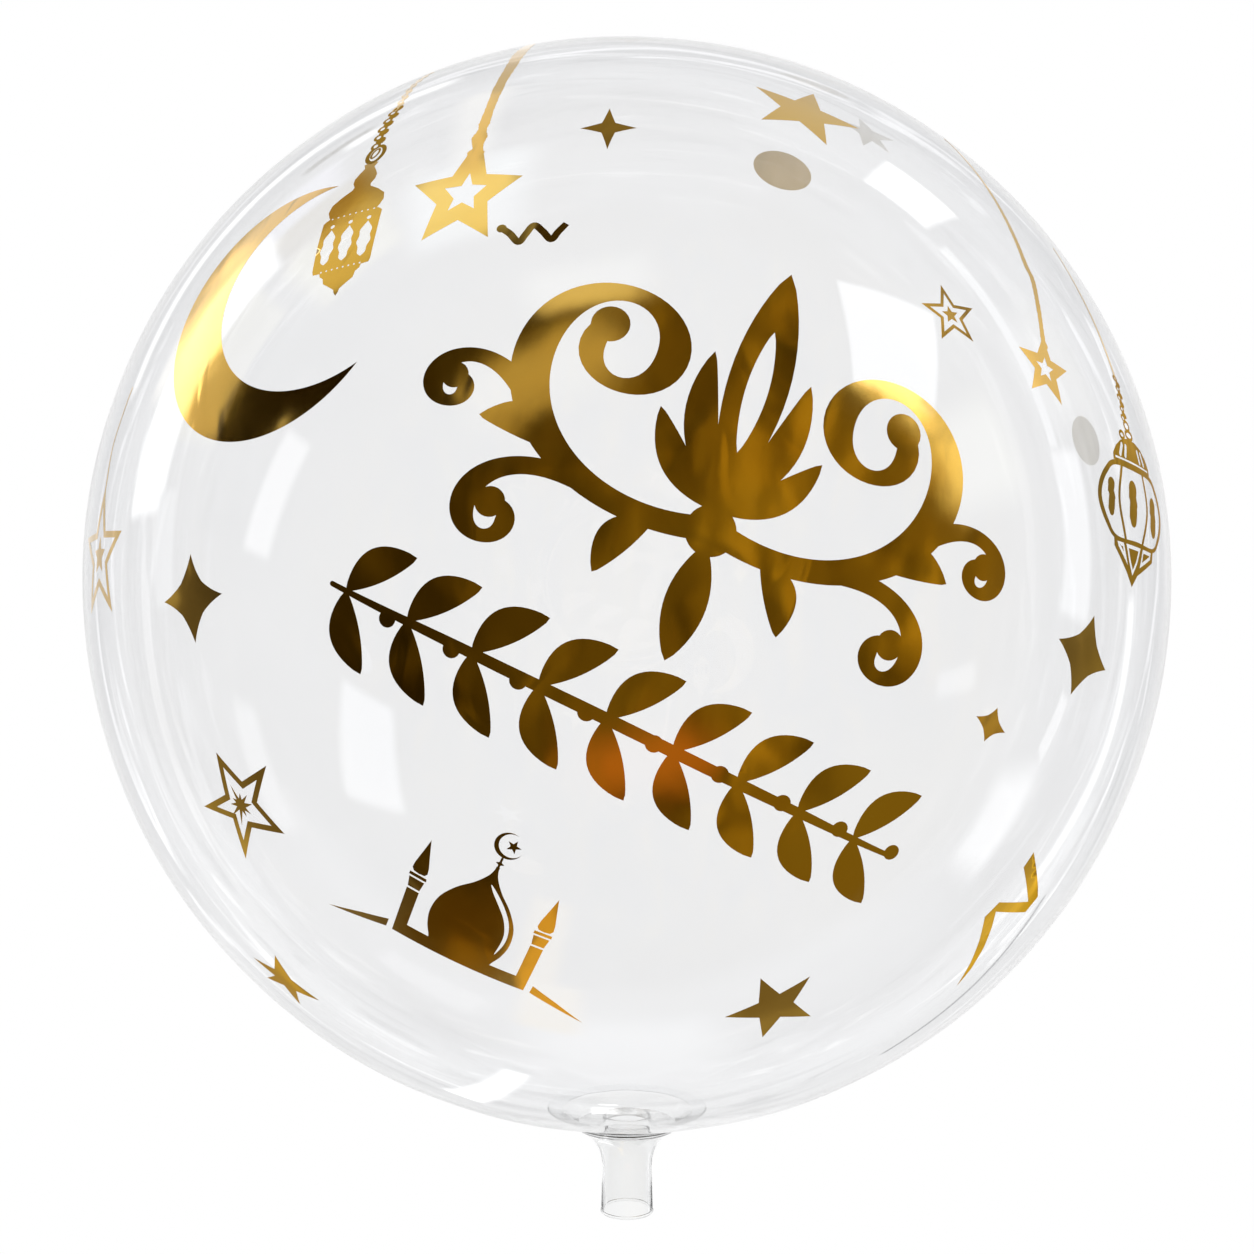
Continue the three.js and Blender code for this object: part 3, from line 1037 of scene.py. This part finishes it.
def blend_along(nodes, links, value, low, high):
    """Smoothly from 0 to 1 as a value goes from low to high."""
    node = nodes.new("ShaderNodeMapRange")
    node.interpolation_type = "SMOOTHSTEP"
    node.inputs["From Min"].default_value = low
    node.inputs["From Max"].default_value = high
    links.new(value, node.inputs["Value"])
    return node.outputs["Result"]


def mix_colours(nodes, links, factor, first, second, blend="MIX"):
    """Two colours mixed, each a socket or a plain colour."""
    node = nodes.new("ShaderNodeMix")
    node.data_type = "RGBA"
    node.blend_type = blend
    for socket, value in zip((node.inputs[0], node.inputs[6], node.inputs[7]), (factor, first, second)):
        if isinstance(value, tuple):
            socket.default_value = (*value, 1)
        elif isinstance(value, (int, float)):
            socket.default_value = value
        else:
            links.new(value, socket)
    return node.outputs[2]


def soft_patch(nodes, links, direction, azimuth, polar_angle, half_width, half_height, roll, edge):
    """A soft-edged rectangle in the sky, as a factor from 0 to 1. All its sizes are in degrees."""
    az, pol, tilt = (math.radians(v) for v in (azimuth, polar_angle, roll))
    out = np.array([math.sin(pol) * math.cos(az), math.sin(pol) * math.sin(az), math.cos(pol)])
    side = np.array([-math.sin(az), math.cos(az), 0])
    away = np.cross(side, out)
    across = side * math.cos(tilt) + away * math.sin(tilt)
    up = away * math.cos(tilt) - side * math.sin(tilt)

    def along(vector):
        node = nodes.new("ShaderNodeVectorMath")
        node.operation = "DOT_PRODUCT"
        node.inputs[1].default_value = vector
        links.new(direction, node.inputs[0])
        return node.outputs["Value"]

    def within(vector, half):
        angle = calculate(nodes, links, "ABSOLUTE", calculate(nodes, links, "ARCTAN2", along(vector), ahead))
        outer, inner = math.radians(half + edge / 2), math.radians(max(half - edge / 2, 0))
        return blend_along(nodes, links, angle, outer, inner)

    ahead = along(out)
    return calculate(nodes, links, "MULTIPLY", within(across, half_width), within(up, half_height))


# Windows and lamps that the film's front mirrors: azimuth, angle from the zenith, half sizes, roll, soft
# edge and light
WINDOWS = [
    (62, 114, 12, 9, 4, 7, 0.62),
    (41.3, 73, 8.6, 9.9, -39.7, 1.2, 2.2),
    (53.6, 110, 4.9, 5.9, 6.6, 1.2, 2.1),
    (166, 75, 9.8, 3.5, 10.9, 2.4, 1.6),
    (154.4, 113.5, 16.1, 6.2, 1.6, 2, 2.0),
    (176, 105, 7, 3, -6, 2, 0.8),
    (6, 100, 11, 4.6, 8, 2.2, 1.3),
    (31.9, 101, 14.1, 1.3, 8, 1, 1.25),
    (340, 122.5, 15, 1.5, 2, 2.4, 1.6),
    (254.8, 129.5, 1.4, 12, 9, 1.2, 1.9),
    (134, 138.8, 17, 1.7, 1, 2.8, 1.35),
    (120.9, 127.5, 1.6, 1.4, 0, 2, 1.4),
    (312, 136, 9.5, 0.5, -25, 0.8, 0.05),
    (267.5, 132.5, 1, 2.2, 0, 0.8, 1.9),
    (267.8, 128.4, 0.8, 0.4, 0, 0.4, 1.9),
    (271.2, 132, 0.5, 2, 0, 0.6, 1.4),
]

# Windows that the film's far wall mirrors, nearer to the balloon's back
FAR_WINDOWS = [
    (85, 126, 42, 14, 0, 14, 0.85),
    (32.8, 81.4, 11.7, 6.9, 42, 3, 2.1),
    (147.7, 123.5, 5.6, 6.2, -7.8, 5, 2.4),
    (161, 128, 3.4, 1.6, 19.9, 1, 2.0),
    (26.8, 113.4, 8.6, 3.2, 15.3, 3, 1.4),
    (163.1, 91.6, 2.2, 5.2, -18.7, 3, 1.3),
    (62.9, 124.4, 5.9, 3.4, 6, 3, 1.4),
]

# Broad soft lights and darks that the foil shows
GLOWS = [
    (270, 108, 11, 14, 0, 10, (0.8, 0.8, 0.8)),
    (150, 81.5, 24, 13.5, 0, 3, (0.012, 0.008, 0.001)),
    (98, 60, 10, 4.5, 0, 7, (0.8, 0.78, 0.66)),
    (112.6, 88.5, 8.4, 10.6, 12, 6.5, (1.0, 1.07, 1.08)),
    (108.8, 109, 2.4, 15, 9, 3.5, (0.88, 0.85, 0.78)),
    (130, 108.5, 7, 6, 0, 4, (0.34, 0.25, 0.09)),
    (123.8, 129.8, 3.4, 1, 0, 1.6, (0.1, 0.07, 0.03)),
    (130.5, 95, 7.5, 9, 0, 4, (0.72, 0.67, 0.38)),
    (152, 103, 10, 8.5, 0, 2, (0.62, 0.58, 0.42)),
    (147, 118, 10, 6, 0, 4, (1.3, 1.25, 1.15)),
    (132, 120, 6, 5, 0, 4, (0.86, 0.85, 0.95)),
    (20, 77, 7, 9, 0, 8, (1.1, 1.08, 0.85)),
    (112, 43, 15, 6, 0, 8, (0.5, 0.44, 0.24)),
    (275, 35, 11, 6, 0, 9, (0.42, 0.17, 0.03)),
    (243, 79, 8, 10, 0, 7, (0.075, 0.045, 0.004)),
    (247, 86, 3, 3.5, 0, 5, (0.22, 0.13, 0.012)),
    (257, 76, 3.2, 11, 2, 3, (0.74, 0.52, 0.15)),
    (259.5, 92, 4.2, 7, 0, 4, (0.74, 0.52, 0.15)),
    (338.7, 81.5, 2, 2.2, 0, 2, (0.5, 0.42, 0.18)),
    (39.6, 90, 3.4, 3.4, 0, 3, (0.48, 0.44, 0.36)),
    (27, 108, 7, 10, 0, 8, (0.78, 0.77, 0.73)),
    (315, 70, 16, 14, 0, 14, (0.19, 0.14, 0.02)),
]

SKY_DARK = (0.03, 0.02, 0.002)
SKY_BROWN = (0.16, 0.11, 0.012)
SKY_SIDE = (0.25, 0.23, 0.21)
SKY_LOW = (0.60, 0.60, 0.61)
SKY_NEAR = (0.80, 0.80, 0.80)
SKY_FLOOR = (1.0, 1.0, 1.0)
BACKDROP = (1.0, 1.0, 1.0)
FLOOR_ALBEDO = 0.82
FLOOR_LIGHT = 1.0
LIGHT_BOUNCES = 24


def make_world():
    """A plain soft studio. What is seen straight or through clear film is the pale backdrop; what is seen
    in a mirror is the dim room above with its windows and lamps."""
    world = bpy.data.worlds.new("studio")
    bpy.context.scene.world = world
    world.use_nodes = True
    nodes, links = world.node_tree.nodes, world.node_tree.links
    nodes.clear()
    direction = nodes.new("ShaderNodeTexCoord").outputs["Generated"]
    path = nodes.new("ShaderNodeLightPath")

    def background(colour):
        node = nodes.new("ShaderNodeBackground")
        if isinstance(colour, tuple):
            node.inputs["Color"].default_value = (*colour, 1)
        else:
            links.new(colour, node.inputs["Color"])
        return node.outputs["Background"]

    def when_deep(bounces, limit, shallow, deep):
        node = nodes.new("ShaderNodeMixShader")
        links.new(calculate(nodes, links, "GREATER_THAN", path.outputs[bounces], limit), node.inputs["Fac"])
        links.new(shallow, node.inputs[1])
        links.new(deep, node.inputs[2])
        return node.outputs["Shader"]

    def noise(scale, stretch, detail, distortion):
        mapping = nodes.new("ShaderNodeMapping")
        mapping.inputs["Scale"].default_value = stretch
        texture = nodes.new("ShaderNodeTexNoise")
        texture.inputs["Scale"].default_value = scale
        texture.inputs["Detail"].default_value = detail
        texture.inputs["Distortion"].default_value = distortion
        links.new(direction, mapping.inputs["Vector"])
        links.new(mapping.outputs["Vector"], texture.inputs["Vector"])
        return texture.outputs["Fac"]

    def streaks(factor, stops):
        ramp = nodes.new("ShaderNodeValToRGB")
        elements = ramp.color_ramp.elements
        for place, value in stops:
            elements.new(place).color = (value, value, value, 1)
        elements.remove(elements[0])
        elements.remove(elements[-1])
        links.new(factor, ramp.inputs["Fac"])
        return ramp.outputs["Color"]

    def room():
        parts = nodes.new("ShaderNodeSeparateXYZ")
        links.new(direction, parts.inputs["Vector"])
        drift = calculate(nodes, links, "MULTIPLY_ADD", noise(2.2, (1, 1, 1), 2, 0.4), 0.5, -0.25)
        height = calculate(nodes, links, "ADD", parts.outputs["Z"], drift)
        to_right = blend_along(nodes, links, parts.outputs["X"], -0.75, 0.5)
        overhead = mix_colours(nodes, links, to_right, SKY_DARK, SKY_BROWN)
        sky = mix_colours(nodes, links, blend_along(nodes, links, height, 0.35, -0.2), overhead, SKY_SIDE)
        low = mix_colours(nodes, links, blend_along(nodes, links, parts.outputs["Y"], 0, -0.6), SKY_LOW, SKY_NEAR)
        sky = mix_colours(nodes, links, blend_along(nodes, links, height, -0.1, -0.6), sky, low)
        low_down = blend_along(nodes, links, parts.outputs["Z"], 0.1, -0.35)
        level = streaks(noise(2, (1, 1, 4.5), 3, 1.6), ((0.30, 0.66), (0.44, 1.0), (0.56, 1.0), (0.68, 1.8)))
        sky = mix_colours(nodes, links, low_down, sky, level, "MULTIPLY")
        high_up = blend_along(nodes, links, parts.outputs["Z"], 0.15, 0.45)
        upright = streaks(noise(3.4, (2.6, 0.7, 1), 2, 1.2), ((0.34, 0.25), (0.46, 0.9), (0.54, 1.1), (0.66, 2.6)))
        sky = mix_colours(nodes, links, high_up, sky, upright, "MULTIPLY")
        return mix_colours(nodes, links, blend_along(nodes, links, parts.outputs["Z"], -0.72, -0.92), sky, SKY_FLOOR)

    def with_patches(sky, patches):
        for *place, light in patches:
            if isinstance(light, float):
                light = (light, light, light)
            sky = mix_colours(nodes, links, soft_patch(nodes, links, direction, *place), sky, light)
        return sky

    front = background(with_patches(room(), GLOWS + WINDOWS))
    far = background(with_patches(room(), FAR_WINDOWS))
    mirrored_ray = when_deep("Transmission Depth", 3.5, front, far)
    seen = when_deep("Glossy Depth", 0.5, background(BACKDROP), mirrored_ray)
    even = FLOOR_LIGHT / FLOOR_ALBEDO
    everything = when_deep("Diffuse Depth", 0.5, seen, background((even, even, even)))
    output = nodes.new("ShaderNodeOutputWorld")
    links.new(everything, output.inputs["Surface"])
    world.cycles.sampling_method = "NONE"
    bpy.context.scene.cycles.max_bounces = LIGHT_BOUNCES
    bpy.context.scene.cycles.transmission_bounces = LIGHT_BOUNCES
    bpy.context.scene.view_settings.view_transform = "Standard"


def make_floor():
    """A plain pale floor under the balloon."""
    half = 40
    mesh = bpy.data.meshes.new("floor")
    mesh.from_pydata([(-half, -half, 0), (half, -half, 0), (half, half, 0), (-half, half, 0)], [], [(0, 1, 2, 3)])
    material, nodes, links = new_material("floor_pale")
    shader = nodes["Principled BSDF"]
    shader.inputs["Base Color"].default_value = (FLOOR_ALBEDO, FLOOR_ALBEDO, FLOOR_ALBEDO, 1)
    shader.inputs["Roughness"].default_value = 1
    shader.inputs["Specular IOR Level"].default_value = 0
    path = nodes.new("ShaderNodeLightPath")
    unseen = nodes.new("ShaderNodeMixShader")
    links.new(calculate(nodes, links, "GREATER_THAN", path.outputs["Glossy Depth"], 0.5), unseen.inputs["Fac"])
    links.new(shader.outputs["BSDF"], unseen.inputs[1])
    links.new(nodes.new("ShaderNodeBsdfTransparent").outputs["BSDF"], unseen.inputs[2])
    links.new(unseen.outputs["Shader"], nodes["Material Output"].inputs["Surface"])
    mesh.materials.append(material)
    floor = bpy.data.objects.new("floor", mesh)
    bpy.context.scene.collection.objects.link(floor)
    floor.visible_glossy = False


def make_camera():
    """The camera straight over the balloon, at the photograph's distance and lens."""
    data = bpy.data.cameras.new("camera")
    data.sensor_width = SENSOR
    data.lens = FOCAL_PIXELS / PHOTO_SIZE * SENSOR
    data.shift_y = (BALL_PIXEL_Y - PHOTO_SIZE / 2) / PHOTO_SIZE
    camera = bpy.data.objects.new("camera", data)
    camera.location = (0, 0, (CENTRE_HEIGHT + CAMERA_REACH * BALL_RADIUS) * MM)
    bpy.context.scene.collection.objects.link(camera)
    bpy.context.scene.camera = camera


make_world()
make_floor()
make_camera()
